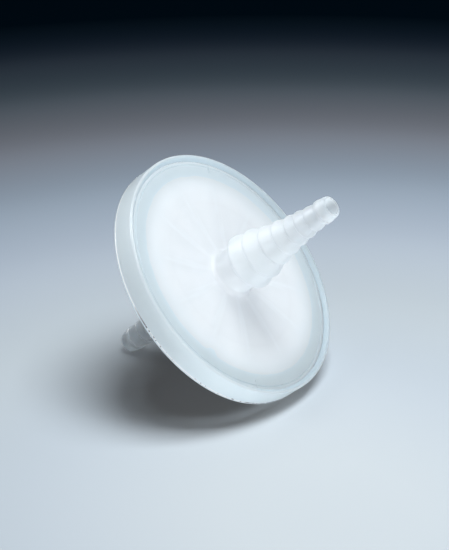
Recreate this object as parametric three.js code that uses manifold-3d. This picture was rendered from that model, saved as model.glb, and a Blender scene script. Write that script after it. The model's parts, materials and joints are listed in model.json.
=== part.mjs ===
// In-line disc filter with a stepped hose barb on each side.
//
// Two moulded half shells trap a membrane between two support discs. A band moulded
// over the shells' edges locks and seals them. Nothing in it moves.
//
// Millimetres, +Z up. Each piece is drawn on the filter's own axis, with the mid-plane of
// the membrane at height 0, and the whole filter is then laid down as it comes to rest:
// leaning on the rim of the band and on the tip of the outlet barb.

import * as THREE from 'three';
import { mergeVertices } from 'three/addons/utils/BufferGeometryUtils.js';
import Module from 'manifold-3d';

const wasm = await Module();
wasm.setup();

// ---------------------------------------------------------------------------
// Driving dimensions
// ---------------------------------------------------------------------------

// The layers, from the mid-plane outwards.
const MEMBRANE_DIAMETER = 49.6;
const MEMBRANE_THICKNESS = 0.2;
const SUPPORT_THICKNESS = 0.3;
const SUPPORT_EDGE_GAP = 0.3;
const FILM_GAP = 0.1;

// A half shell: ribbed disc, clamping land round the membrane, and plain flange.
const SHELL_WALL = 0.93;
const SEAL_LAND_WIDTH = 1.2;
const FLANGE_WIDTH = 3.8;
const RIB_COUNT = 12;
const RIB_HEIGHT = 0.5;
const RIB_WIDTH = 1.2;
const RIB_ROOT_DEPTH = 0.25;
const RIB_TO_BORE = 2;
const FIRST_RIB_ANGLE = 25;

// The hub neck that carries the hose barb.
const NECK_RADIUS = 5.2;
const NECK_WALL = 0.8;
const NECK_LENGTH = 5.77;
const NECK_FILLET = 1.2;

// The hose barb, from its tip to the neck. Each ring is a cone that rises from its root to
// its crest. Two rings grip each of four hose sizes, from about 5 to 12 mm inside.
const BARB_RINGS = [
  { root: 2.42, rise: 0.43, length: 3.1 },
  { root: 2.40, rise: 0.52, length: 3.1 },
  { root: 2.55, rise: 0.77, length: 2.7 },
  { root: 2.80, rise: 0.85, length: 2.7 },
  { root: 3.15, rise: 1.05, length: 3.4 },
  { root: 3.70, rise: 1.10, length: 3.6 },
  { root: 4.20, rise: 1.73, length: 3.9 },
  { root: 5.35, rise: 1.17, length: 4.1 },
];
const BARB_CREST_LAND = 0.55;
const BARB_CREST_CHAMFER = 0.16;
const TIP_WALL = 0.45;
const TIP_CHAMFER = 0.12;
const STRAIGHT_BORE_LENGTH = 14;

// The band over the shells' edges.
const FIT_GAP = 0.3;
const BAND_WALL = 1.1;
const LIP_OVERLAP = 1.1;
const LIP_HEIGHT = 1.14;
const LIP_INNER_SLOPE = 0.3;
const LIP_INNER_ROUND = 0.3;
const LIP_OUTER_ROUND = 0.7;
const PARTING_LINE_FROM_REAR = 1.3;
const PARTING_RIDGE_HEIGHT = 0.08;
const PARTING_RIDGE_WIDTH = 0.24;
const KNIT_LINE_WIDTH = 0.35;
const KNIT_LINE_HEIGHT = 0.12;
const KNIT_LINE_LENGTH = 1.6;
const KNIT_LINE_RIB = 4;

// Facets, and how closely shapes are worked out.
const SHELL_SIDES = 48;
const BAND_SIDES = 72;
const FILLET_STEPS = 3;
const MERGE_DISTANCE = 1e-5;
const TILT_HALVINGS = 50;

// ---------------------------------------------------------------------------
// Sizes worked out from them
// ---------------------------------------------------------------------------

const membraneRadius = MEMBRANE_DIAMETER / 2;
const membraneFace = MEMBRANE_THICKNESS / 2;
const supportBase = membraneFace + FILM_GAP;
const supportTop = supportBase + SUPPORT_THICKNESS;
const ribTip = supportTop + FILM_GAP;
const shellInside = ribTip + RIB_HEIGHT;
const shellFace = shellInside + SHELL_WALL;
const rimFace = shellFace + LIP_HEIGHT;

const landRadius = membraneRadius - SEAL_LAND_WIDTH;
const landFace = membraneFace + FILM_GAP;
const shellRadius = membraneRadius + FLANGE_WIDTH;
const grooveRadius = shellRadius + FIT_GAP;
const rimRadius = grooveRadius + BAND_WALL;
const lipRadius = shellRadius - LIP_OVERLAP;

const tipBoreRadius = Math.min(...BARB_RINGS.map((ring) => ring.root)) - TIP_WALL;
const hubBoreRadius = NECK_RADIUS - NECK_WALL;
const neckTop = shellFace + NECK_LENGTH;
const tipFace = BARB_RINGS.reduce((height, ring) => height + ring.length, neckTop);
const ribAngle = (index) => THREE.MathUtils.degToRad(FIRST_RIB_ANGLE + (360 / RIB_COUNT) * index);

// ---------------------------------------------------------------------------
// Solids: three.js geometry for every shape, joined as manifolds
// ---------------------------------------------------------------------------

function toSolid(geometry) {
  const bare = geometry.index ? geometry.toNonIndexed() : geometry.clone();
  bare.deleteAttribute('normal');
  bare.deleteAttribute('uv');
  const merged = mergeVertices(bare, MERGE_DISTANCE);
  return new wasm.Manifold(
    new wasm.Mesh({
      numProp: 3,
      vertProperties: new Float32Array(merged.attributes.position.array),
      triVerts: new Uint32Array(merged.index.array),
    }),
  );
}

function toGeometry(solid) {
  const { vertProperties, triVerts } = solid.getMesh();
  const geometry = new THREE.BufferGeometry();
  geometry.setAttribute('position', new THREE.BufferAttribute(vertProperties, 3));
  geometry.setIndex(new THREE.BufferAttribute(triVerts, 1));
  geometry.computeVertexNormals();
  return geometry;
}

// Turns an outline of [radius, height] points round the filter's axis. The first facet is
// centred on +X, the side that meets the ground, so the filter rests on a flat and not on a corner.
function revolve(outline, sides) {
  const points = outline.map(([radius, height]) => new THREE.Vector2(radius, height));
  const halfFacet = Math.PI / sides;
  const lathe = new THREE.LatheGeometry(points, sides, halfFacet, 2 * Math.PI);
  return toSolid(lathe.rotateX(Math.PI / 2));
}

// A bar that lies along a radius, between two radii and two heights.
function radialBar(innerRadius, outerRadius, base, top, width, angle) {
  const bar = new THREE.BoxGeometry(outerRadius - innerRadius, width, top - base);
  bar.translate((innerRadius + outerRadius) / 2, 0, (base + top) / 2);
  return toSolid(bar.rotateZ(angle));
}

// Points on a quarter round about a centre, from one angle to another in degrees.
function quarterRound(centreRadius, centreHeight, size, fromDegrees, toDegrees) {
  return Array.from({ length: FILLET_STEPS + 1 }, (_, step) => {
    const share = step / FILLET_STEPS;
    const angle = THREE.MathUtils.degToRad(THREE.MathUtils.lerp(fromDegrees, toDegrees, share));
    return [centreRadius + size * Math.cos(angle), centreHeight + size * Math.sin(angle)];
  });
}

// ---------------------------------------------------------------------------
// Outlines
// ---------------------------------------------------------------------------

// The stepped barb's outside, from the neck to the tip. Each ring has a square back towards
// the disc, a short land on its crest and a cone that falls away towards the tip.
function barbOutline() {
  const outline = [];
  let back = neckTop;
  for (const { root, rise, length } of [...BARB_RINGS].reverse()) {
    const crest = root + rise;
    outline.push([crest - BARB_CREST_CHAMFER, back]);
    outline.push([crest, back + BARB_CREST_CHAMFER]);
    outline.push([crest, back + BARB_CREST_LAND]);
    back += length;
    outline.push([root, back]);
  }
  const [tipRadius] = outline.pop();
  outline.push([tipRadius, tipFace - TIP_CHAMFER]);
  outline.push([tipRadius - TIP_CHAMFER, tipFace]);
  return outline;
}

// Half shell, anticlockwise from the bottom of the flange's edge.
function shellOutline() {
  return [
    [shellRadius, landFace],
    [shellRadius, shellFace],
    ...quarterRound(NECK_RADIUS + NECK_FILLET, shellFace + NECK_FILLET, NECK_FILLET, 270, 180),
    [NECK_RADIUS, neckTop],
    ...barbOutline(),
    [tipBoreRadius, tipFace],
    [tipBoreRadius, tipFace - STRAIGHT_BORE_LENGTH],
    [hubBoreRadius, shellInside],
    [landRadius, shellInside],
    [landRadius, landFace],
    [shellRadius, landFace],
  ];
}

// Half of the band's outside above its mid-plane: from the lip's foot, over the lip, to the side wall.
function lipOutline() {
  const slopeTop = rimFace - LIP_INNER_ROUND;
  const slopeRadius = lipRadius + LIP_INNER_SLOPE;
  return [
    [lipRadius, shellFace + FIT_GAP],
    [slopeRadius, slopeTop],
    [slopeRadius + LIP_INNER_ROUND, rimFace],
    ...quarterRound(rimRadius - LIP_OUTER_ROUND, rimFace - LIP_OUTER_ROUND, LIP_OUTER_ROUND, 90, 0),
  ];
}

// The band: a groove inside for the shells' flanges, and a lip on each face.
function bandOutline() {
  const front = lipOutline();
  const rear = lipOutline().map(([radius, height]) => [radius, -height]).reverse();
  const partingHeight = PARTING_LINE_FROM_REAR - rimFace;
  return [
    [grooveRadius, shellFace + FIT_GAP],
    ...front,
    [rimRadius, partingHeight + PARTING_RIDGE_WIDTH / 2],
    [rimRadius + PARTING_RIDGE_HEIGHT, partingHeight],
    [rimRadius, partingHeight - PARTING_RIDGE_WIDTH / 2],
    ...rear,
    [grooveRadius, -shellFace - FIT_GAP],
    [grooveRadius, shellFace + FIT_GAP],
  ].reverse();
}

// ---------------------------------------------------------------------------
// Materials
// ---------------------------------------------------------------------------

function naturalPolypropylene() {
  return new THREE.MeshStandardMaterial({
    color: 0xdbe7ee,
    roughness: 0.35,
    metalness: 0,
    transparent: true,
    opacity: 0.8,
  });
}

function expandedPtfe() {
  return new THREE.MeshStandardMaterial({ color: 0xf8fafb, roughness: 0.9, metalness: 0 });
}

function nonWovenPolypropylene() {
  return new THREE.MeshStandardMaterial({ color: 0xeef2f4, roughness: 0.95, metalness: 0 });
}

// ---------------------------------------------------------------------------
// Pieces
// ---------------------------------------------------------------------------

function namedMesh(name, solid, material) {
  const mesh = new THREE.Mesh(toGeometry(solid), material);
  mesh.name = name;
  return mesh;
}

// One half shell: its disc, neck and barb in one revolve, with the radial ribs that keep the
// support off its wall so that the flow can spread.
function halfShell(name) {
  let solid = revolve(shellOutline(), SHELL_SIDES);
  const ribInner = hubBoreRadius + RIB_TO_BORE;
  const ribOuter = landRadius + RIB_ROOT_DEPTH;
  for (let index = 0; index < RIB_COUNT; index += 1) {
    const top = shellInside + RIB_ROOT_DEPTH;
    solid = solid.add(radialBar(ribInner, ribOuter, ribTip, top, RIB_WIDTH, ribAngle(index)));
  }
  return namedMesh(name, solid, naturalPolypropylene());
}

// The band moulded over both shells. The melt meets itself at two opposite places and leaves
// a fine raised knit line there, across the lip on both faces.
function rimBand() {
  let solid = revolve(bandOutline(), BAND_SIDES);
  const outer = rimRadius - LIP_OUTER_ROUND;
  const inner = outer - KNIT_LINE_LENGTH;
  const foot = rimFace - LIP_INNER_ROUND;
  const crown = rimFace + KNIT_LINE_HEIGHT;
  for (const index of [KNIT_LINE_RIB, KNIT_LINE_RIB + RIB_COUNT / 2]) {
    solid = solid.add(radialBar(inner, outer, foot, crown, KNIT_LINE_WIDTH, ribAngle(index)));
    solid = solid.add(radialBar(inner, outer, -crown, -foot, KNIT_LINE_WIDTH, ribAngle(index)));
  }
  return namedMesh('rim_band', solid, naturalPolypropylene());
}

// A flat round layer between two heights.
function layer(name, radius, base, top, material) {
  const outline = [
    [0, base],
    [radius, base],
    [radius, top],
    [0, top],
  ];
  return namedMesh(name, revolve(outline, SHELL_SIDES), material);
}

// ---------------------------------------------------------------------------
// Resting attitude
// ---------------------------------------------------------------------------

// Depth of an outline's lowest point under the filter's centre, when the axis leans by tilt
// from the vertical and +X is the low side.
function reach(outline, sides, tilt) {
  const flat = Math.cos(Math.PI / sides);
  const depths = outline.map(([radius, height]) => {
    return radius * flat * Math.sin(tilt) + Math.abs(height) * Math.cos(tilt);
  });
  return Math.max(...depths);
}

// The lean at which the band's rear edge and the outlet barb's tip touch the ground together.
function restingTilt() {
  const shell = shellOutline();
  const band = bandOutline();
  let upright = 0;
  let flat = Math.PI / 2;
  for (let step = 0; step < TILT_HALVINGS; step += 1) {
    const tilt = (upright + flat) / 2;
    const barbIsLower = reach(shell, SHELL_SIDES, tilt) > reach(band, BAND_SIDES, tilt);
    if (barbIsLower) {
      upright = tilt;
    } else {
      flat = tilt;
    }
  }
  return (upright + flat) / 2;
}

// ---------------------------------------------------------------------------
// Assembly
// ---------------------------------------------------------------------------

const filter = new THREE.Group();
const supportRadius = landRadius - SUPPORT_EDGE_GAP;
const outletShell = halfShell('outlet_shell');
outletShell.rotation.x = Math.PI;
filter.add(
  halfShell('inlet_shell'),
  outletShell,
  rimBand(),
  layer('membrane', membraneRadius, -membraneFace, membraneFace, expandedPtfe()),
  layer('inlet_support', supportRadius, supportBase, supportTop, nonWovenPolypropylene()),
  layer('outlet_support', supportRadius, -supportTop, -supportBase, nonWovenPolypropylene()),
);
filter.rotation.y = restingTilt();

const part = new THREE.Group();
part.add(filter);
part.updateMatrixWorld(true);
const bounds = new THREE.Box3().setFromObject(part, true);
const middle = bounds.getCenter(new THREE.Vector3());
filter.position.set(-middle.x, -middle.y, -bounds.min.z);

export default part;
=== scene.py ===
"""In-line disc filter with a stepped hose barb on each side, dressed for the studio."""

import json
import math

import bmesh
import bpy
from mathutils import Matrix, Vector, noise
from mathutils.bvhtree import BVHTree


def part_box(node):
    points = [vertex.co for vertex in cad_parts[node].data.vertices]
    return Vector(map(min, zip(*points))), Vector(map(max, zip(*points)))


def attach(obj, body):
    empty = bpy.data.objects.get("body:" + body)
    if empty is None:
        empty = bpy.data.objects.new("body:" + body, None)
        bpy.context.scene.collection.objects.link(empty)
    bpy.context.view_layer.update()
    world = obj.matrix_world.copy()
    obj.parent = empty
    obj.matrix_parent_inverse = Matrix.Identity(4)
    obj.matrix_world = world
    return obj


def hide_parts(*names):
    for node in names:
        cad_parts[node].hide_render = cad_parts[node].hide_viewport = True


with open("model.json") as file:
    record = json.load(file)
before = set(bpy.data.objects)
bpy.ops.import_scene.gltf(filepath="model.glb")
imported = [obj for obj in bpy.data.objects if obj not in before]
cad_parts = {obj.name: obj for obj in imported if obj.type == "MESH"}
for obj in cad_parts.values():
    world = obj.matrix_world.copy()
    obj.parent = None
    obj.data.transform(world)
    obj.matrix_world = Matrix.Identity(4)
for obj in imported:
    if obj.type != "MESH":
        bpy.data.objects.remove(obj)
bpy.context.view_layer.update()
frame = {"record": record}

# ---------------------------------------------------------------------------
# Camera
# A long lens, a little above the filter and to the right of its face, so that
# the disc shows as an oval with one barb in front and the other behind it.
# ---------------------------------------------------------------------------

MM = 0.001
CAMERA_AZIMUTH = math.radians(28.65)
CAMERA_ELEVATION = math.radians(24.83)
CAMERA_DISTANCE = 427.4 * MM
CAMERA_ASIDE = -0.23 * MM
CAMERA_ABOVE = 0.56 * MM
LENS = 124.3
SENSOR = 36.0
CLIP_START = 0.01
CLIP_END = 10

camera_right = Vector((math.cos(CAMERA_AZIMUTH), math.sin(CAMERA_AZIMUTH), 0))
camera_front = Vector((math.sin(CAMERA_AZIMUTH), -math.cos(CAMERA_AZIMUTH), 0))
membrane_low, membrane_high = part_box("membrane")
filter_centre = (Vector(membrane_low) + Vector(membrane_high)) / 2

camera_back = Vector((
    math.sin(CAMERA_AZIMUTH) * math.cos(CAMERA_ELEVATION),
    -math.cos(CAMERA_AZIMUTH) * math.cos(CAMERA_ELEVATION),
    math.sin(CAMERA_ELEVATION),
))
camera_turn = camera_back.to_track_quat("Z", "Y").to_matrix().to_4x4()
camera_aim = filter_centre + camera_turn.to_3x3() @ Vector((CAMERA_ASIDE, CAMERA_ABOVE, 0))

camera_data = bpy.data.cameras.new("camera")
camera_data.lens = LENS
camera_data.sensor_width = SENSOR
camera_data.clip_start = CLIP_START
camera_data.clip_end = CLIP_END
camera = bpy.data.objects.new("camera", camera_data)
camera.matrix_world = Matrix.Translation(camera_aim + camera_back * CAMERA_DISTANCE) @ camera_turn
bpy.context.scene.collection.objects.link(camera)
bpy.context.scene.camera = camera
bpy.context.scene.view_settings.view_transform = "Standard"

# ---------------------------------------------------------------------------
# Floor
# A sheet of pale background paper, dead matt, with a lamp of its own that makes
# it a cool light grey. A pool of light is painted into its colour, darker away from the middle.
# ---------------------------------------------------------------------------

FLOOR_SIZE = 4.0
PAPER_ROUGHNESS = 0.9
# The middle of the painted pool of light stands this far in front of the filter and to its right.
POOL_FORWARD = 60.0
POOL_RIGHT = 20.0
# Distance from the middle of the painted pool in mm, and the paper's painted shade there.
PAINTED_POOL_OF_LIGHT = [
    (20, "#BCB6B0"),
    (60, "#B1ADAA"),
    (100, "#ABA7A3"),
    (140, "#9D9B9C"),
    (180, "#818285"),
    (220, "#666263"),
    (260, "#3F4143"),
    (300, "#1F2328"),
    (340, "#01070C"),
]


def linear(hex_colour):
    """The linear colour of an sRGB hex value."""
    channels = [int(hex_colour[place:place + 2], 16) / 255 for place in (1, 3, 5)]
    curve = [c / 12.92 if c <= 0.04045 else ((c + 0.055) / 1.055) ** 2.4 for c in channels]
    return (*curve, 1.0)


def new_material(name):
    """An empty material and its node tree."""
    material = bpy.data.materials.new(name)
    material.use_nodes = True
    material.node_tree.nodes.clear()
    return material, material.node_tree


def add(tree, kind, inputs=None, **settings):
    """Adds a node with its settings. Each input is given a value or a socket to link from."""
    node = tree.nodes.new(kind)
    for name, value in settings.items():
        setattr(node, name, value)
    for name, value in (inputs or {}).items():
        if isinstance(value, bpy.types.NodeSocket):
            tree.links.new(value, node.inputs[name])
        else:
            node.inputs[name].default_value = value
    return node


def new_piece(name, bm, material):
    """A mesh object at the origin from a finished bmesh."""
    mesh = bpy.data.meshes.new(name)
    bm.to_mesh(mesh)
    bm.free()
    mesh.materials.append(material)
    piece = bpy.data.objects.new(name, mesh)
    bpy.context.scene.collection.objects.link(piece)
    return piece


def background_paper():
    """Matt paper with a pool of light painted into its colour."""
    material, tree = new_material("background_paper")
    nearest, farthest = PAINTED_POOL_OF_LIGHT[0][0], PAINTED_POOL_OF_LIGHT[-1][0]
    place = add(tree, "ShaderNodeTexCoord")
    from_middle = add(tree, "ShaderNodeVectorMath", {
        0: place.outputs["Object"],
        1: (camera_right * POOL_RIGHT + camera_front * POOL_FORWARD) * MM,
    }, operation="DISTANCE")
    share = add(tree, "ShaderNodeMapRange", {
        "Value": from_middle.outputs["Value"],
        "From Min": nearest * MM,
        "From Max": farthest * MM,
    })
    # Painted light: the paper is painted darker the farther it lies from the pool's middle.
    shade = add(tree, "ShaderNodeValToRGB", {"Fac": share.outputs["Result"]})
    shade.color_ramp.interpolation = "CARDINAL"
    while len(shade.color_ramp.elements) < len(PAINTED_POOL_OF_LIGHT):
        shade.color_ramp.elements.new(0.5)
    for element, (distance, colour) in zip(shade.color_ramp.elements, PAINTED_POOL_OF_LIGHT):
        element.position = (distance - nearest) / (farthest - nearest)
        element.color = linear(colour)
    surface = add(tree, "ShaderNodeBsdfPrincipled", {
        "Base Color": shade.outputs["Color"],
        "Roughness": PAPER_ROUGHNESS,
        "Specular IOR Level": 0.0,
    })
    add(tree, "ShaderNodeOutputMaterial", {"Surface": surface.outputs["BSDF"]})
    return material


floor_mesh = bmesh.new()
bmesh.ops.create_grid(floor_mesh, x_segments=1, y_segments=1, size=FLOOR_SIZE / 2)
floor = new_piece("floor", floor_mesh, background_paper())

# ---------------------------------------------------------------------------
# Lights
# A broad softbox overhead and to the right, with a second lamp in it for the paper
# alone, a wide low strip in front, and weak ones on the left and behind.
# ---------------------------------------------------------------------------

OVERHEAD_WIDTH = 0.40
OVERHEAD_DEPTH = 0.34
OVERHEAD_HEIGHT = 0.7
OVERHEAD_RIGHT = 0.152
OVERHEAD_POWER = 4.8
LOW_WIDTH = 1.5
LOW_DEPTH = 0.1
LOW_AZIMUTH = math.radians(22)
LOW_ELEVATION = math.radians(3.5)
LOW_DISTANCE = 0.9
LOW_POWER = 7.0
LEFT_WIDTH = 0.4
LEFT_DEPTH = 0.3
LEFT_AZIMUTH = math.radians(-80)
LEFT_ELEVATION = math.radians(35)
LEFT_DISTANCE = 0.8
LEFT_POWER = 4.0
REAR_WIDTH = 0.4
REAR_DEPTH = 0.2
REAR_AZIMUTH = math.radians(-112)
REAR_ELEVATION = math.radians(4)
REAR_DISTANCE = 0.8
REAR_POWER = 1.4
LAMP_COLOUR = "#F5FBFF"
PAPER_LAMP_POWER = 5.45
PAPER_LAMP_COLOUR = "#BDE1FF"
STUDIO_GLOW = "#FFF1E3"
STUDIO_STRENGTH = 0.02
BACKDROP = "#02090E"


def round_filter(azimuth, elevation, distance):
    """A place at a distance from the filter, with 0 in front of the axes and 90 on their right."""
    level = distance * math.cos(elevation)
    return filter_centre + Vector((
        math.sin(azimuth) * level, -math.cos(azimuth) * level, math.sin(elevation) * distance))


def softbox(name, width, depth, place, power, colour=LAMP_COLOUR):
    """A rectangular soft light at a place, turned to the filter with its width level."""
    data = bpy.data.lights.new(name, "AREA")
    data.shape = "RECTANGLE"
    data.size = width
    data.size_y = depth
    data.energy = power
    data.color = linear(colour)[:3]
    light = bpy.data.objects.new(name, data)
    towards = (place - filter_centre).normalized()
    across = camera_right.cross(towards).normalized()
    turn = Matrix((across.cross(towards), across, towards)).transposed().to_4x4()
    light.matrix_world = Matrix.Translation(place) @ turn
    bpy.context.scene.collection.objects.link(light)
    return light


def kept_to(light, pieces):
    """Lets a light fall on some of the pieces alone, as flags and a snoot would."""
    light.light_linking.receiver_collection = bpy.data.collections.new(light.name + "_falls_on")
    for piece in pieces:
        light.light_linking.receiver_collection.objects.link(piece)


overhead = camera_right * OVERHEAD_RIGHT + Vector((0, 0, OVERHEAD_HEIGHT))
softbox("overhead_softbox", OVERHEAD_WIDTH, OVERHEAD_DEPTH, overhead, OVERHEAD_POWER)
paper_softbox = softbox("paper_softbox", OVERHEAD_WIDTH, OVERHEAD_DEPTH, overhead,
                        PAPER_LAMP_POWER, PAPER_LAMP_COLOUR)
kept_to(paper_softbox, [floor])
low_softbox = softbox("low_softbox", LOW_WIDTH, LOW_DEPTH,
                      round_filter(LOW_AZIMUTH, LOW_ELEVATION, LOW_DISTANCE), LOW_POWER)
left_softbox = softbox("left_softbox", LEFT_WIDTH, LEFT_DEPTH,
                       round_filter(LEFT_AZIMUTH, LEFT_ELEVATION, LEFT_DISTANCE), LEFT_POWER)
rear_softbox = softbox("rear_softbox", REAR_WIDTH, REAR_DEPTH,
                       round_filter(REAR_AZIMUTH, REAR_ELEVATION, REAR_DISTANCE), REAR_POWER)

world = bpy.data.worlds.new("studio")
world.use_nodes = True
bpy.context.scene.world = world
world.node_tree.nodes.clear()
glow = add(world.node_tree, "ShaderNodeBackground", {
    "Color": linear(STUDIO_GLOW),
    "Strength": STUDIO_STRENGTH,
})
backdrop = add(world.node_tree, "ShaderNodeBackground", {"Color": linear(BACKDROP)})
ray = add(world.node_tree, "ShaderNodeLightPath")
seen = add(world.node_tree, "ShaderNodeMixShader", {
    0: ray.outputs["Is Camera Ray"],
    1: glow.outputs["Background"],
    2: backdrop.outputs["Background"],
})
add(world.node_tree, "ShaderNodeOutputWorld", {"Surface": seen.outputs["Shader"]})

# ---------------------------------------------------------------------------
# Membrane
# A disc of expanded PTFE, die-cut and pinched between the shells. It is dead
# white and matt. The cut edge wanders a little and has one small nick.
# ---------------------------------------------------------------------------

MEMBRANE_RADIUS = 24.8
MEMBRANE_FACE = 0.1
MEMBRANE_SIDES = 256
MEMBRANE_WANDER = 0.3
MEMBRANE_LOBES = 5.0
MEMBRANE_OCTAVES = 3
NICK_ANGLE = math.radians(296)
NICK_WIDTH = 3.2
NICK_DEPTH = 1.3
NICK_SQUARENESS = 4
PTFE_COLOUR = "#FDFDFD"
PTFE_SHADE = "#F7F8F8"
PTFE_ROUGHNESS = 0.75
PTFE_IOR = 1.35
PTFE_CLOUD = 3.0

filter_axis = Vector(next(
    mount["axis"] for mount in frame["record"]["mounts"] if mount["name"] == "inlet_barb_end"
))
filter_tilt = math.atan2(filter_axis.x, filter_axis.z)
# Takes a shape drawn in millimetres round the filter's own axis to where the filter lies.
lay_down = (Matrix.Translation(filter_centre) @ Matrix.Rotation(filter_tilt, 4, "Y")
            @ Matrix.Scale(MM, 4))


def angle_of(point):
    """Where a point lies round the filter's axis, before the filter is laid down."""
    return math.atan2(point.y, point.x)


def membrane_edge(angle):
    """Radius of the cut edge at an angle round the disc."""
    around = Vector((math.cos(angle), math.sin(angle), 0)) * MEMBRANE_LOBES
    wander = MEMBRANE_WANDER * abs(noise.fractal(around, 1.0, 2.0, MEMBRANE_OCTAVES))
    off = math.remainder(angle - NICK_ANGLE, 2 * math.pi) * MEMBRANE_RADIUS
    nick = NICK_DEPTH * max(0.0, 1 - (2 * off / NICK_WIDTH) ** NICK_SQUARENESS)
    return MEMBRANE_RADIUS - wander - nick


def flat_layer(edge, sides, base, top):
    """A flat round layer between two heights, whose edge is a function of the angle."""
    bm = bmesh.new()
    bmesh.ops.create_circle(bm, cap_ends=True, segments=sides, radius=1.0)
    for vert in bm.verts:
        radius = edge(angle_of(vert.co))
        vert.co = Vector((vert.co.x * radius, vert.co.y * radius, base))
    lifted = bmesh.ops.extrude_face_region(bm, geom=bm.faces[:], use_keep_orig=True)
    lifted_verts = [item for item in lifted["geom"] if isinstance(item, bmesh.types.BMVert)]
    bmesh.ops.translate(bm, verts=lifted_verts, vec=(0, 0, top - base))
    bmesh.ops.recalc_face_normals(bm, faces=bm.faces)
    bmesh.ops.transform(bm, matrix=lay_down, verts=bm.verts)
    return bm


def expanded_ptfe():
    """Sintered fibrils scatter all light: matt white with the faintest clouding."""
    material, tree = new_material("expanded_ptfe")
    place = add(tree, "ShaderNodeTexCoord")
    cloud = add(tree, "ShaderNodeTexNoise", {
        "Vector": place.outputs["Object"],
        "Scale": 1 / (PTFE_CLOUD * MM),
        "Detail": 4.0,
        "Roughness": 0.6,
    })
    colour = add(tree, "ShaderNodeMix", {
        "Factor": cloud.outputs["Fac"],
        6: linear(PTFE_SHADE),
        7: linear(PTFE_COLOUR),
    }, data_type="RGBA")
    surface = add(tree, "ShaderNodeBsdfPrincipled", {
        "Base Color": colour.outputs[2],
        "Roughness": PTFE_ROUGHNESS,
        "IOR": PTFE_IOR,
    })
    add(tree, "ShaderNodeOutputMaterial", {"Surface": surface.outputs["BSDF"]})
    return material


membrane = new_piece(
    "membrane_sheet",
    flat_layer(membrane_edge, MEMBRANE_SIDES, -MEMBRANE_FACE, MEMBRANE_FACE),
    expanded_ptfe(),
)
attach(membrane, "root")
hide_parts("membrane")

# ---------------------------------------------------------------------------
# Support discs
# A disc of non-woven polypropylene on each side holds the membrane flat against
# the pressure. It is a thin white felt of fused fibres, die-cut and laid in.
# ---------------------------------------------------------------------------

SUPPORT_RADIUS = 23.3
SUPPORT_THICKNESS = 0.3
SUPPORT_SIDES = 192
LAYER_GAP = 0.02
FELT_COLOUR = "#FCFBFB"
FELT_PAINTED_SHADE = "#F3F4F4"
FELT_ROUGHNESS = 0.85
# The fibres are about 0.02 mm thick. They are drawn in bundles coarse enough to show.
FIBRE_SPACING = 0.6
FIBRE_HEIGHT = 0.05
FIBRE_RELIEF = 0.6
# The fibres stray from a straight line in bends of about this length.
FIBRE_BEND = 2 * FIBRE_SPACING


def felted_polypropylene():
    """Fused fibres: white and matt with a fine criss-cross relief, faintly darker in its hollows
    as painted shade.
    """
    material, tree = new_material("felted_polypropylene")
    place = add(tree, "ShaderNodeTexCoord")
    stray = add(tree, "ShaderNodeTexNoise", {
        "Vector": place.outputs["Object"],
        "Scale": 1 / (FIBRE_BEND * MM),
        "Detail": 3.0,
    })
    bent = add(tree, "ShaderNodeVectorMath", {
        0: stray.outputs["Color"],
        1: (FIBRE_SPACING * MM,) * 3,
        2: place.outputs["Object"],
    }, operation="MULTIPLY_ADD")
    fibres = add(tree, "ShaderNodeTexVoronoi", {
        "Vector": bent.outputs["Vector"],
        "Scale": 1 / (FIBRE_SPACING * MM),
    }, feature="DISTANCE_TO_EDGE")
    # Painted shade: the colour darkens towards the middle of each cell, where the relief is
    # lowest.
    colour = add(tree, "ShaderNodeMix", {
        "Factor": fibres.outputs["Distance"],
        6: linear(FELT_COLOUR),
        7: linear(FELT_PAINTED_SHADE),
    }, data_type="RGBA")
    relief = add(tree, "ShaderNodeBump", {
        "Height": fibres.outputs["Distance"],
        "Distance": FIBRE_HEIGHT * MM,
        "Strength": FIBRE_RELIEF,
    }, invert=True)
    surface = add(tree, "ShaderNodeBsdfPrincipled", {
        "Base Color": colour.outputs[2],
        "Roughness": FELT_ROUGHNESS,
        "Normal": relief.outputs["Normal"],
    })
    add(tree, "ShaderNodeOutputMaterial", {"Surface": surface.outputs["BSDF"]})
    return material


felt = felted_polypropylene()
for side, node in ((1, "inlet_support"), (-1, "outlet_support")):
    heights = sorted((side * (MEMBRANE_FACE + LAYER_GAP),
                      side * (MEMBRANE_FACE + LAYER_GAP + SUPPORT_THICKNESS)))
    disc = new_piece(
        node.replace("support", "felt"),
        flat_layer(lambda angle: SUPPORT_RADIUS, SUPPORT_SIDES, *heights),
        felt,
    )
    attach(disc, "root")
    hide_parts(node)

# ---------------------------------------------------------------------------
# Half shells
# Two alike shells of natural polypropylene, each injection-moulded in one piece
# with its hose barb. Twelve low ribs inside hold the support off the wall, and
# the flat land outside the ribs pinches the membrane.
# ---------------------------------------------------------------------------

SHELL_STEPS = 144
SHELL_BEVEL_STEPS = 4
SHELL_FACE = 2.03
SHELL_INSIDE = 1.1
SHELL_RADIUS = 28.6
LAND_RADIUS = 23.6
LAND_EDGE = 0.05
RECESS_RADIUS = 25.0
WELD_FACE = 0.01
NECK_RADIUS = 5.2
NECK_TOP = 7.8
NECK_FILLET = 1.2
TIP_FACE = 34.39
TIP_BORE_RADIUS = 1.95
HUB_BORE_RADIUS = 4.4
STRAIGHT_BORE = 14.0
# Each ring from the neck to the tip: radius at its root, height of its crest above that, length.
BARB_RINGS = [
    (5.35, 1.17, 4.1),
    (4.20, 1.73, 3.9),
    (3.70, 1.10, 3.6),
    (3.15, 1.05, 3.4),
    (2.80, 0.85, 2.7),
    (2.55, 0.77, 2.7),
    (2.40, 0.52, 3.1),
    (2.42, 0.43, 3.09),
]
CREST_LAND = 0.55
CREST_ROUND = 0.14
TIP_ROUND = 0.2
EDGE_ROUND = 0.12
# The band's lip covers the face from here outwards.
LIP_COVER = 28.5
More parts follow.
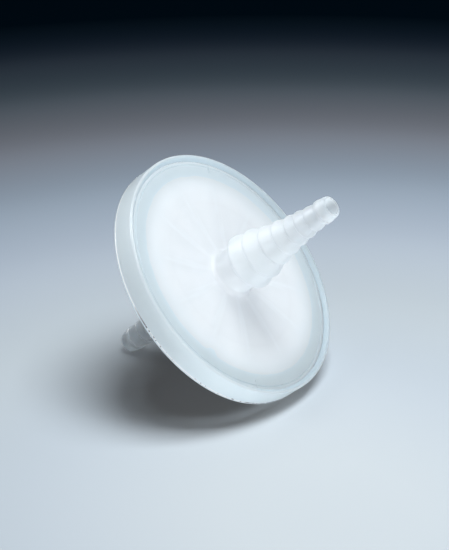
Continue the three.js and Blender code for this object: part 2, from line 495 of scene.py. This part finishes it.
# Rings of points on the flat face, so that its thickness is known all over. The first two are
# moved to follow the membrane's edge, because the flange looks blue with no white behind it.
EDGE_RINGS = (25.2, 24.9)
PLATE_RINGS = (22.4, 18.0, 12.0)
SOFT_EDGE = 0.35
EDGE_SPREAD = 0.35
EDGE_WALL = 3.8
# A fine witness groove runs round the face, where the band's mould closed on the flange.
# Its faces are painted darker, as painted shade in the groove.
WITNESS_INNER = 27.6
WITNESS_OUTER = 27.9
WITNESS_DEPTH = 0.1
WITNESS_PAINTED_SHADE = "#D6E5EE"
RIB_COUNT = 12
RIB_START = math.radians(25)
RIB_INNER = 6.4
RIB_OUTER = 23.85
RIB_WIDTH = 1.2
RIB_TIP = 0.46
RIB_ROOT = 1.35
TICK_RIB = 4
TICK_WIDTH = 0.22
TICK_HEIGHT = 0.1
TICK_FOOT = 0.3
FLANGE_TICK = (26.4, 28.4)
# Points this near to an edge or a face count as on it.
NEAR = 0.01
MERGE_DISTANCE = 1e-4

MILKY_THIN = "#F6FBFE"
MILKY_THICK = "#E6F4FD"
MILKY_PASSES = "#FCFDFF"
MILKY_CLOUDING = 0.06
CLOUD_SPACING = 6
GRAIN_SPACING = 0.5
GRAIN_HEIGHT = 0.01
GRAIN_STRENGTH = 0.5
POLYPROPYLENE_IOR = 1.49
THICK_WALL = 12.0
FRONT_ROUGHNESS = 0.4
REAR_ROUGHNESS = 0.14
MILKY_DEPTH = 4.5
MILKY_REACH = 1.7
LIGHT_REACH = 22.0
MILKY_SLANT = 0.75
MILKY_GLOW = 0.3
# Each wall is measured by a ray from just under its skin, as far as this.
RAY_START = 0.02
THICKEST = 3.0
LEAST_WALL = 1.2
END_WALL = 8.0
PLATE_WALL = SHELL_FACE - SHELL_INSIDE
# The mould is matt inside, which clouds the plate as this much more plastic would.
MATT_INSIDE = 1.1
LAND_WALL = 6.4
RIB_SHOWS = 0.7
WELD_WALL = 25.0
EVEN_OUT = 3
SHARP_ANGLE = math.radians(32)


def radius_of(point):
    """How far a point lies from the filter's axis, before the filter is laid down."""
    return math.hypot(point.x, point.y)


def turned(outline, steps, segments):
    """A closed solid turned from corners of radius, height and rounding."""
    bm = bmesh.new()
    corners = [bm.verts.new((radius, 0, height)) for radius, height, _ in outline]
    for first, second in zip(corners, corners[1:] + corners[:1]):
        bm.edges.new((first, second))
    bmesh.ops.spin(
        bm, geom=bm.verts[:] + bm.edges[:], cent=(0, 0, 0), axis=(0, 0, 1),
        angle=2 * math.pi, steps=steps, use_merge=True,
    )
    bmesh.ops.remove_doubles(bm, verts=bm.verts, dist=MERGE_DISTANCE)
    bmesh.ops.recalc_face_normals(bm, faces=bm.faces)
    for rounding in sorted({corner[2] for corner in outline} - {0}):
        rings = {(round(r, 3), round(h, 3)) for r, h, size in outline if size == rounding}
        edges = [edge for edge in bm.edges if all(
            (round(radius_of(vert.co), 3), round(vert.co.z, 3)) in rings
            for vert in edge.verts
        ) and abs(edge.verts[0].co.z - edge.verts[1].co.z) < MERGE_DISTANCE]
        bmesh.ops.bevel(
            bm, geom=edges, offset=rounding, offset_type="OFFSET", affect="EDGES",
            segments=segments, profile=0.5, material=-1, clamp_overlap=True,
        )
    return bm


def move_to(vert, radius):
    """Moves a point along its radius."""
    share = radius / radius_of(vert.co)
    vert.co.x *= share
    vert.co.y *= share


def add_bar(bm, inner, outer, base, top, width, angle):
    """Adds a bar that lies along a radius, between two radii and two heights."""
    size = Matrix.Diagonal((outer - inner, width, top - base, 1))
    place = Matrix.Translation(((inner + outer) / 2, 0, (base + top) / 2))
    turn = Matrix.Rotation(angle, 4, "Z")
    bmesh.ops.create_cube(bm, size=1.0, matrix=turn @ place @ size)


def fused(body, additions):
    """One closed skin round a solid and the bars that overlap it."""
    objects = []
    for part in (body, additions):
        mesh = bpy.data.meshes.new("fusing")
        part.to_mesh(mesh)
        part.free()
        objects.append(bpy.data.objects.new("fusing", mesh))
        bpy.context.scene.collection.objects.link(objects[-1])
    union = objects[0].modifiers.new("fuse", "BOOLEAN")
    union.operation = "UNION"
    union.solver = "EXACT"
    union.object = objects[1]
    skin = objects[0].evaluated_get(bpy.context.evaluated_depsgraph_get())
    bm = bmesh.new()
    bm.from_mesh(skin.to_mesh())
    skin.to_mesh_clear()
    for part in objects:
        bpy.data.meshes.remove(part.data)
    return bm


def half_shell(side):
    """The shell's section, from the flange over the barb and back down the bore, turned round."""
    outline = [
        (SHELL_RADIUS, WELD_FACE, 0),
        (SHELL_RADIUS, SHELL_FACE, 0),
        (LIP_COVER, SHELL_FACE, 0),
        (WITNESS_OUTER, SHELL_FACE, 0),
        ((WITNESS_INNER + WITNESS_OUTER) / 2, SHELL_FACE - WITNESS_DEPTH, 0),
        (WITNESS_INNER, SHELL_FACE, 0),
        *((radius, SHELL_FACE, 0) for radius in EDGE_RINGS + PLATE_RINGS),
        (NECK_RADIUS, SHELL_FACE, NECK_FILLET),
        (NECK_RADIUS, NECK_TOP, 0),
    ]
    back = NECK_TOP
    for root, rise, length in BARB_RINGS:
        outline.append((root + rise, back, CREST_ROUND))
        outline.append((root + rise, back + CREST_LAND, CREST_ROUND))
        back += length
        outline.append((root, back, 0))
    outline[-1] = (*outline[-1][:2], TIP_ROUND)
    outline += [
        (TIP_BORE_RADIUS, TIP_FACE, EDGE_ROUND),
        (TIP_BORE_RADIUS, TIP_FACE - STRAIGHT_BORE, 0),
        (HUB_BORE_RADIUS, SHELL_INSIDE, 0),
        (LAND_RADIUS - LAND_EDGE, SHELL_INSIDE, 0),
        (LAND_RADIUS, SHELL_INSIDE, 0),
        (LAND_RADIUS, MEMBRANE_FACE + LAYER_GAP, 0),
        (LAND_RADIUS + LAND_EDGE, MEMBRANE_FACE + LAYER_GAP, 0),
        (RECESS_RADIUS, MEMBRANE_FACE + LAYER_GAP, 0),
        (RECESS_RADIUS, WELD_FACE, 0),
    ]
    body = turned(outline, SHELL_STEPS, SHELL_BEVEL_STEPS)
    for vert in body.verts:
        radius = radius_of(vert.co)
        on_edge = min(EDGE_RINGS) - NEAR < radius < max(EDGE_RINGS) + NEAR
        if on_edge and abs(vert.co.z - SHELL_FACE) < NEAR:
            soft = math.copysign(SOFT_EDGE, radius - sum(EDGE_RINGS) / 2)
            move_to(vert, membrane_edge(side * angle_of(vert.co)) + EDGE_SPREAD + soft)
    bars = bmesh.new()
    for index in range(RIB_COUNT):
        angle = RIB_START + index * 2 * math.pi / RIB_COUNT
        add_bar(bars, RIB_INNER, RIB_OUTER, RIB_TIP, RIB_ROOT, RIB_WIDTH, angle)
        if index % (RIB_COUNT // 2) == TICK_RIB:
            base, top = SHELL_FACE - TICK_FOOT, SHELL_FACE + TICK_HEIGHT
            add_bar(bars, *FLANGE_TICK, base, top, TICK_WIDTH, angle)
    shell = fused(body, bars)
    measure_walls(shell, side)
    mark_welds(shell, lambda radius, height: radius > LIP_COVER - NEAR or (
        radius > RECESS_RADIUS - NEAR and height < WELD_FACE + NEAR))
    # The witness groove's faces take the third material, a darker copy of the plastic: painted
    # shade.
    for face in shell.faces:
        middle = face.calc_center_median()
        in_shaded_groove = SHELL_FACE - WITNESS_DEPTH < middle.z < SHELL_FACE - NEAR
        if in_shaded_groove and WITNESS_INNER < radius_of(middle) < WITNESS_OUTER:
            face.material_index = 2
    return shell


def measure_walls(bm, side):
    """Stores how thick the plastic is behind each point, in millimetres, for its milkiness."""
    bm.normal_update()
    walls = BVHTree.FromBMesh(bm)
    thickness = bm.verts.layers.float.new("wall")
    barb = []
    for vert in bm.verts:
        radius = radius_of(vert.co)
        start = vert.co - vert.normal * RAY_START
        behind = walls.ray_cast(start, -vert.normal, THICKEST)[3] or THICKEST
        on_face = vert.co.z > SHELL_FACE - NEAR
        edge = RECESS_RADIUS
        if on_face:
            edge = membrane_edge(side * angle_of(vert.co)) + EDGE_SPREAD
        if radius > edge - NEAR:
            vert[thickness] = WELD_WALL
        elif on_face and radius > max(PLATE_RINGS) - NEAR:
            vert[thickness] = EDGE_WALL
        elif abs(radius - LAND_RADIUS) < NEAR and not on_face:
            vert[thickness] = LAND_WALL
        elif radius > LAND_RADIUS:
            vert[thickness] = PLATE_WALL + MATT_INSIDE
        elif radius > min(PLATE_RINGS) - NEAR:
            vert[thickness] = PLATE_WALL + MATT_INSIDE + RIB_SHOWS * max(0.0, behind - PLATE_WALL)
        else:
            vert[thickness] = max(behind, LEAST_WALL)
            barb.append(vert)
    # Light spreads sideways inside the wall, which evens out its steps.
    for _ in range(EVEN_OUT):
        evened = [sum(edge.other_vert(vert)[thickness] for edge in vert.link_edges)
                  / len(vert.link_edges) for vert in barb]
        for vert, value in zip(barb, evened):
            vert[thickness] = (vert[thickness] + value) / 2
    for vert in barb:
        if vert.co.z > TIP_FACE - TIP_ROUND:
            vert[thickness] = END_WALL


def natural_polypropylene(name, depth, roughness, thick_tint_and_painted_shade=MILKY_THICK):
    """Unpigmented, half-crystalline: milky and a little blue, clearer where it is thin."""
    material, tree = new_material(name)
    place = add(tree, "ShaderNodeTexCoord")
    wall = add(tree, "ShaderNodeAttribute", attribute_name="wall")
    thick = add(tree, "ShaderNodeMapRange", {
        "Value": wall.outputs["Fac"],
        "From Max": THICK_WALL,
    }, interpolation_type="SMOOTHSTEP")
    cloud = add(tree, "ShaderNodeTexNoise", {
        "Vector": place.outputs["Object"],
        "Scale": 1 / (CLOUD_SPACING * MM),
        "Detail": 3.0,
    })
    # Where the wall is thick the colour goes to the last argument: the plastic's blue tint, and
    # for the witness groove and the lip a darker copy of it as painted shade.
    depth_colour = add(tree, "ShaderNodeMix", {
        "Factor": thick.outputs["Result"],
        6: linear(MILKY_THIN),
        7: linear(thick_tint_and_painted_shade),
    }, data_type="RGBA")
    faint = add(tree, "ShaderNodeMapRange", {
        "Value": cloud.outputs["Fac"],
        "To Min": 1.0 - MILKY_CLOUDING,
    })
    colour = add(tree, "ShaderNodeMix", {
        "Factor": 1.0,
        6: depth_colour.outputs[2],
        7: faint.outputs["Result"],
    }, data_type="RGBA", blend_type="MULTIPLY")
    grain = add(tree, "ShaderNodeTexNoise", {
        "Vector": place.outputs["Object"],
        "Scale": 1 / (GRAIN_SPACING * MM),
        "Detail": 4.0,
    })
    relief = add(tree, "ShaderNodeBump", {
        "Height": grain.outputs["Fac"],
        "Distance": GRAIN_HEIGHT * MM,
        "Strength": GRAIN_STRENGTH,
    })
    milk = add(tree, "ShaderNodeBsdfPrincipled", {
        "Base Color": colour.outputs[2],
        "Roughness": roughness,
        "IOR": POLYPROPYLENE_IOR,
        "Subsurface Weight": 1.0,
        "Subsurface Radius": (1.0, 1.0, 1.0),
        "Subsurface Scale": depth * MM,
        "Normal": relief.outputs["Normal"],
    })
    through = add(tree, "ShaderNodeBsdfTranslucent", {"Color": colour.outputs[2]})
    cloudy = add(tree, "ShaderNodeMixShader", {
        0: MILKY_GLOW,
        1: milk.outputs["BSDF"],
        2: through.outputs["BSDF"],
    })
    clear = add(tree, "ShaderNodeBsdfTransparent")
    passed = add(tree, "ShaderNodeBsdfTransparent", {"Color": linear(MILKY_PASSES)})
    shine = add(tree, "ShaderNodeBsdfGlossy", {
        "Roughness": roughness,
        "Normal": relief.outputs["Normal"],
    })
    mirrored = add(tree, "ShaderNodeFresnel", {"IOR": POLYPROPYLENE_IOR})
    glassy = add(tree, "ShaderNodeMixShader", {
        0: mirrored.outputs["Fac"],
        1: passed.outputs["BSDF"],
        2: shine.outputs["BSDF"],
    })
    # The way through the wall is longer where it is seen aslant, so the rims look milkier. Most
    # of the scattered light goes on forwards, so more of it passes than is seen through.
    aslant = add(tree, "ShaderNodeLayerWeight", {"Blend": 0.5})
    upright = add(tree, "ShaderNodeMath", {
        0: aslant.outputs["Facing"],
        1: -MILKY_SLANT,
        2: 1.0,
    }, operation="MULTIPLY_ADD")
    path = add(tree, "ShaderNodeMath", {
        0: wall.outputs["Fac"],
        1: upright.outputs["Value"],
    }, operation="DIVIDE")
    outer = []
    for reach in (MILKY_REACH, LIGHT_REACH):
        faded = add(tree, "ShaderNodeMath", {
            0: path.outputs["Value"],
            1: -1 / reach,
        }, operation="MULTIPLY")
        left = add(tree, "ShaderNodeMath", {0: faded.outputs["Value"]}, operation="EXPONENT")
        outer.append(add(tree, "ShaderNodeMixShader", {
            0: left.outputs["Value"],
            1: cloudy.outputs["Shader"],
            2: glassy.outputs["Shader"],
        }))
    ray = add(tree, "ShaderNodeLightPath")
    skin = add(tree, "ShaderNodeMixShader", {
        0: ray.outputs["Is Camera Ray"],
        1: outer[1].outputs["Shader"],
        2: outer[0].outputs["Shader"],
    })
    # Light meets each wall once, at its outer skin, and leaves through a clear inner side.
    side = add(tree, "ShaderNodeNewGeometry")
    surface = add(tree, "ShaderNodeMixShader", {
        0: side.outputs["Backfacing"],
        1: skin.outputs["Shader"],
        2: clear.outputs["BSDF"],
    })
    add(tree, "ShaderNodeOutputMaterial", {"Surface": surface.outputs["Shader"]})
    return material


def welded_face():
    """Where two pieces are welded into one there is no surface to see."""
    material, tree = new_material("welded_face")
    clear = add(tree, "ShaderNodeBsdfTransparent")
    add(tree, "ShaderNodeOutputMaterial", {"Surface": clear.outputs["BSDF"]})
    return material


def mark_welds(bm, welded):
    """Gives the second material to the faces that lie all within a weld."""
    for face in bm.faces:
        if all(welded(radius_of(vert.co), abs(vert.co.z)) for vert in face.verts):
            face.material_index = 1


def finish_shading(piece):
    """Smooth faces that stay sharp at real corners, with flat faces kept flat."""
    piece.data.shade_smooth()
    piece.data.set_sharp_from_angle(angle=SHARP_ANGLE)
    weighted = piece.modifiers.new("flat faces stay flat", "WEIGHTED_NORMAL")
    weighted.keep_sharp = True


weld = welded_face()
for turn, side, node, roughness in ((0.0, 1, "inlet_shell", FRONT_ROUGHNESS),
                                    (math.pi, -1, "outlet_shell", REAR_ROUGHNESS)):
    shell_mesh = half_shell(side)
    bmesh.ops.transform(
        shell_mesh, matrix=lay_down @ Matrix.Rotation(turn, 4, "X"), verts=shell_mesh.verts)
    plastic = natural_polypropylene(
        node.replace("shell", "polypropylene"), MILKY_DEPTH, roughness)
    shell = new_piece(node.replace("shell", "half"), shell_mesh, plastic)
    # The witness groove's material is a darker copy of the plastic: painted shade.
    witness_painted_shade = natural_polypropylene(
        node.replace("shell", "witness_painted_shade"), MILKY_DEPTH, roughness, WITNESS_PAINTED_SHADE)
    shell.data.materials.append(weld)
    shell.data.materials.append(witness_painted_shade)
    finish_shading(shell)
    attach(shell, "root")
    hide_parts(node)
    if node == "outlet_shell":
        # A flag keeps the low softbox off this half, which lies behind the disc.
        flagged = bpy.data.collections.new("flagged")
        flagged.objects.link(shell)
        low_softbox.light_linking.receiver_collection = flagged
        flagged.collection_objects[0].light_linking.link_state = "EXCLUDE"
        kept_to(rear_softbox, [shell])
    else:
        front_half = shell

# ---------------------------------------------------------------------------
# Band
# A band of the same polypropylene, moulded over both flanges to lock and seal
# them, with a low lip over each face. The mould's halves met near the rear edge
# and left a ragged line of flash there.
# ---------------------------------------------------------------------------

BAND_STEPS = 576
BAND_BEVEL_STEPS = 5
RIM_RADIUS = 29.9
RIM_FACE = 3.1
# The lip's low inner edge and the edge of its crest, each by radius and height.
LIP_EDGE = (28.75, 2.5)
LIP_EDGE_ROUND = 0.1
LIP_CREST = 29.3
LIP_OUTER_ROUND = 0.5
PARTING_HEIGHT = -2.3
FLASH_WIDTH = 0.26
FLASH_HEIGHT = 0.1
FLASH_ROUND = 0.05
# The flash's height wanders about a mean, as a share of the whole, between a least and all of it.
FLASH_TEETH = 38
FLASH_LEAST = 0.12
FLASH_MEAN = 0.3
FLASH_RAGGED = 1.2
# It is more ragged in some places than in others.
PATCHES = 6
PATCH_START = Vector((4, 1, 2))
PATCH_MEAN = 0.6
FLASH_COLOUR = "#FBFDFE"
FLASH_ROUGHNESS = 0.2
SPECK_COLOUR = "#5E5A66"
SPECK_SIZE = 0.5
SPECK_SPACING = 7.0
# Two noises are added, and the specks lie where their sum is above the first of these.
SPECK_NOISE = (1.0, 1.06)
# The specks lie below this height, and fade out over this much on either side of it.
SPECKS_BELOW = 27.0
SPECKS_FADE = 2
# A point, or the middle of a face, that stands this far out of the rim belongs to the flash.
ON_FLASH = 0.005
ON_FLASH_FACE = 0.002
SEAM = 0.01
BAND_TICK = (29.2, 29.5)
BAND_DEPTH = 4.0
BAND_WALL = 40.0
BAND_ROUGHNESS = 0.21
# Painted shade: the lip's top is given a darker copy of the band's plastic.
LIP_PAINTED_SHADE = "#D3E5F0"


def flash_height(angle):
    """How far the ragged flash stands out at an angle round the band."""
    around = Vector((math.cos(angle), math.sin(angle), 0))
    teeth = noise.fractal(around * FLASH_TEETH, 0.6, 2.0, 4)
    patch = noise.noise(around * PATCHES + PATCH_START) + PATCH_MEAN
    share = FLASH_MEAN + FLASH_RAGGED * teeth * patch
    return FLASH_HEIGHT * min(1.0, max(FLASH_LEAST, share))


def moulded_band():
    """The band's section, with its groove closed tight on the flanges."""
    half = [
        (SHELL_RADIUS + SEAM, SHELL_FACE + SEAM, 0),
        (LIP_COVER, SHELL_FACE + SEAM, 0),
        (*LIP_EDGE, LIP_EDGE_ROUND),
        (LIP_CREST, RIM_FACE, 0),
        (RIM_RADIUS, RIM_FACE, LIP_OUTER_ROUND),
    ]
    flash = [
        (RIM_RADIUS, PARTING_HEIGHT + FLASH_WIDTH / 2, 0),
        (RIM_RADIUS + FLASH_HEIGHT, PARTING_HEIGHT, FLASH_ROUND),
        (RIM_RADIUS, PARTING_HEIGHT - FLASH_WIDTH / 2, 0),
    ]
    rear = [(radius, -height, size) for radius, height, size in reversed(half)]
    body = turned(half + flash + rear, BAND_STEPS, BAND_BEVEL_STEPS)
    for vert in body.verts:
        stands_out = radius_of(vert.co) - RIM_RADIUS
        if stands_out > ON_FLASH:
            left = flash_height(angle_of(vert.co)) / FLASH_HEIGHT
            move_to(vert, RIM_RADIUS + stands_out * left)
    bars = bmesh.new()
    for index in (TICK_RIB, TICK_RIB + RIB_COUNT // 2):
        angle = RIB_START + index * 2 * math.pi / RIB_COUNT
        base, top = RIM_FACE - TICK_FOOT, RIM_FACE + TICK_HEIGHT
        add_bar(bars, *BAND_TICK, base, top, TICK_WIDTH, angle)
        add_bar(bars, *BAND_TICK, -top, -base, TICK_WIDTH, angle)
    ring = fused(body, bars)
    thickness = ring.verts.layers.float.new("wall")
    for vert in ring.verts:
        vert[thickness] = BAND_WALL
    mark_welds(ring, lambda radius, height: (
        radius < SHELL_RADIUS + 2 * SEAM and height < SHELL_FACE + 2 * SEAM))
    for face in ring.faces:
        middle = face.calc_center_median()
        # Faces on the lip's top take the fourth material, a darker copy of the plastic: painted
        # shade.
        on_shaded_lip = radius_of(middle) < RIM_RADIUS - LIP_OUTER_ROUND + NEAR
        if radius_of(middle) > RIM_RADIUS + ON_FLASH_FACE and middle.z < 0:
            face.material_index = 2
        elif on_shaded_lip and abs(middle.z) > SHELL_FACE + 3 * SEAM:
            face.material_index = 3
    return ring


def trimmed_flash():
    """Plastic whitened by strain where the flash was trimmed, with dark specks on it below a given
    height.
    """
    material, tree = new_material("trimmed_flash")
    place = add(tree, "ShaderNodeTexCoord")
    small, wide = (add(tree, "ShaderNodeTexNoise", {
        "Vector": place.outputs["Object"],
        "Scale": 1 / (size * MM),
        "Detail": 1.0,
    }) for size in (SPECK_SIZE, SPECK_SPACING))
    both = add(tree, "ShaderNodeMath", {
        0: small.outputs["Fac"],
        1: wide.outputs["Fac"],
    }, operation="ADD")
    specks = add(tree, "ShaderNodeMapRange", {
        "Value": both.outputs["Value"],
        "From Min": SPECK_NOISE[0],
        "From Max": SPECK_NOISE[1],
    })
    parts = add(tree, "ShaderNodeSeparateXYZ", {"Vector": place.outputs["Object"]})
    low = add(tree, "ShaderNodeMapRange", {
        "Value": parts.outputs["Z"],
        "From Min": (SPECKS_BELOW + SPECKS_FADE) * MM,
        "From Max": (SPECKS_BELOW - SPECKS_FADE) * MM,
    })
    share = add(tree, "ShaderNodeMath", {
        0: specks.outputs["Result"],
        1: low.outputs["Result"],
    }, operation="MULTIPLY")
    colour = add(tree, "ShaderNodeMix", {
        "Factor": share.outputs["Value"],
        6: linear(FLASH_COLOUR),
        7: linear(SPECK_COLOUR),
    }, data_type="RGBA")
    surface = add(tree, "ShaderNodeBsdfPrincipled", {
        "Base Color": colour.outputs[2],
        "Roughness": FLASH_ROUGHNESS,
        "IOR": POLYPROPYLENE_IOR,
    })
    add(tree, "ShaderNodeOutputMaterial", {"Surface": surface.outputs["BSDF"]})
    return material


band_mesh = moulded_band()
bmesh.ops.transform(band_mesh, matrix=lay_down, verts=band_mesh.verts)
band_plastic = natural_polypropylene("band_polypropylene", BAND_DEPTH, BAND_ROUGHNESS)
# The lip's top is painted darker than the rest of the band: painted shade.
lip_shaded_plastic = natural_polypropylene(
    "lip_painted_shade_polypropylene", BAND_DEPTH, FRONT_ROUGHNESS, LIP_PAINTED_SHADE)
band = new_piece("moulded_band", band_mesh, band_plastic)
band.data.materials.append(weld)
band.data.materials.append(trimmed_flash())
band.data.materials.append(lip_shaded_plastic)
finish_shading(band)
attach(band, "root")
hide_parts("rim_band")
kept_to(left_softbox, [front_half, band])
